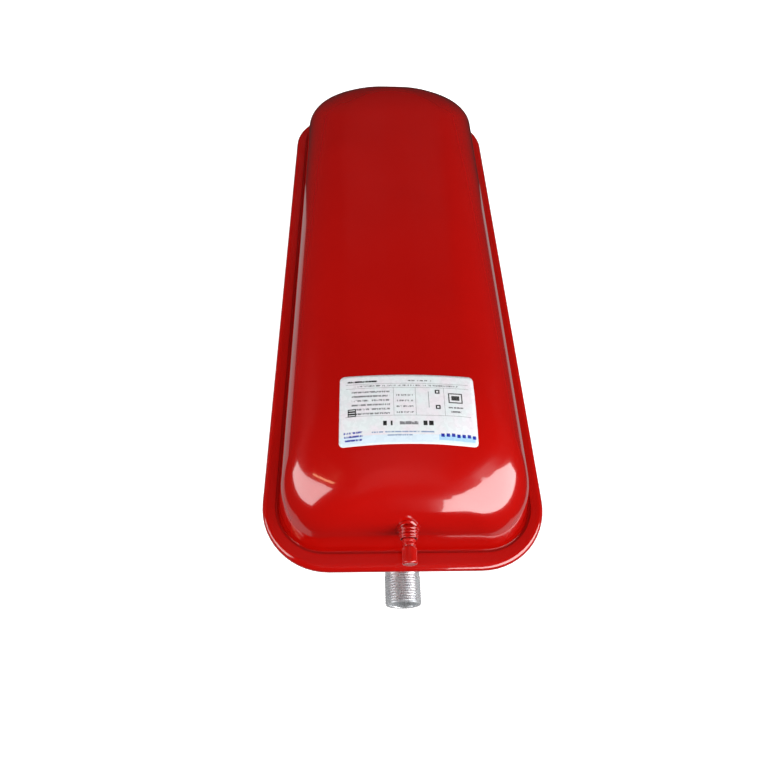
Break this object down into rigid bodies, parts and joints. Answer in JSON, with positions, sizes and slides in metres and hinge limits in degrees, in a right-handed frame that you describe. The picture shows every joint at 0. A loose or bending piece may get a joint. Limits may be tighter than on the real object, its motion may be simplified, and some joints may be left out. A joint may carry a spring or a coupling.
{
  "type": "expansion vessel",
  "caption": "Flat rectangular expansion vessel for a heating boiler: two pressed steel shells hemmed round a rubber diaphragm, with a male threaded water nipple and a capped gas valve.",
  "frame": {"origin": "on the resting face of the back shell, under the middle of the whole vessel's box", "axes": "+X across the vessel, +Y along it away from the water nipple and the gas valve, +Z from the back (water) shell towards the front (gas) shell"},
  "size_m": [0.203, 0.5296, 0.142],
  "materials": {
    "red_paint": "gloss red baked enamel",
    "cap_red": "gloss",
    "zinc_plating": "bright zinc plating over turned threads",
    "brass": "turned",
    "spring_steel": "drawn wire",
    "black_rubber": "matt",
    "diaphragm_rubber": "matt, moulded",
    "seal_plastic": "matt",
    "label_film": null
  },
  "bodies": {
    "vessel": {"front_shell": "red_paint", "back_shell": "red_paint", "water_nipple": "zinc_plating", "nipple_weld": "red_paint", "valve_boss": "red_paint", "valve_weld": "red_paint", "valve_stem": "brass", "stem_seal": "black_rubber", "core_plug": "brass", "core_barrel": "brass", "core_gasket": "seal_plastic", "core_spring": "spring_steel", "diaphragm_bead": "diaphragm_rubber", "diaphragm_skirt": "diaphragm_rubber", "rating_label": "label_film"},
    "diaphragm": {"diaphragm_panel": "diaphragm_rubber"},
    "seal_carriage": {"cap_seal": "black_rubber"},
    "cap": {"valve_cap": "cap_red"},
    "core_plunger": {"core_pin": "brass", "core_cup": "brass", "core_poppet_seal": "black_rubber"}
  },
  "joints": [
    {"name": "diaphragm_travel", "type": "slide", "parent": "vessel", "child": "diaphragm", "axis": [0, 0, 1], "range_m": [0, 0.045], "stiffness_N_per_m": 400, "springref_m": -0.05, "deforming": ["diaphragm_skirt"]},
    {"name": "cap_travel", "type": "slide", "parent": "vessel", "child": "seal_carriage", "axis": [0, -1, 0], "range_m": [0, 0.00714]},
    {"name": "cap_turn", "type": "hinge", "parent": "seal_carriage", "child": "cap", "pos_m": [0, -0.25, 0.099], "axis": [0, -1, 0], "range_deg": [0, 3240]},
    {"name": "core_press", "type": "slide", "parent": "vessel", "child": "core_plunger", "axis": [0, 1, 0], "range_m": [0, 0.0012], "stiffness_N_per_m": 500, "springref_m": -0.003, "deforming": ["core_spring"]}
  ],
  "couplings": [
    {"joint": "cap_turn", "follows": "cap_travel", "rad_per_m": 7915.8}
  ]
}
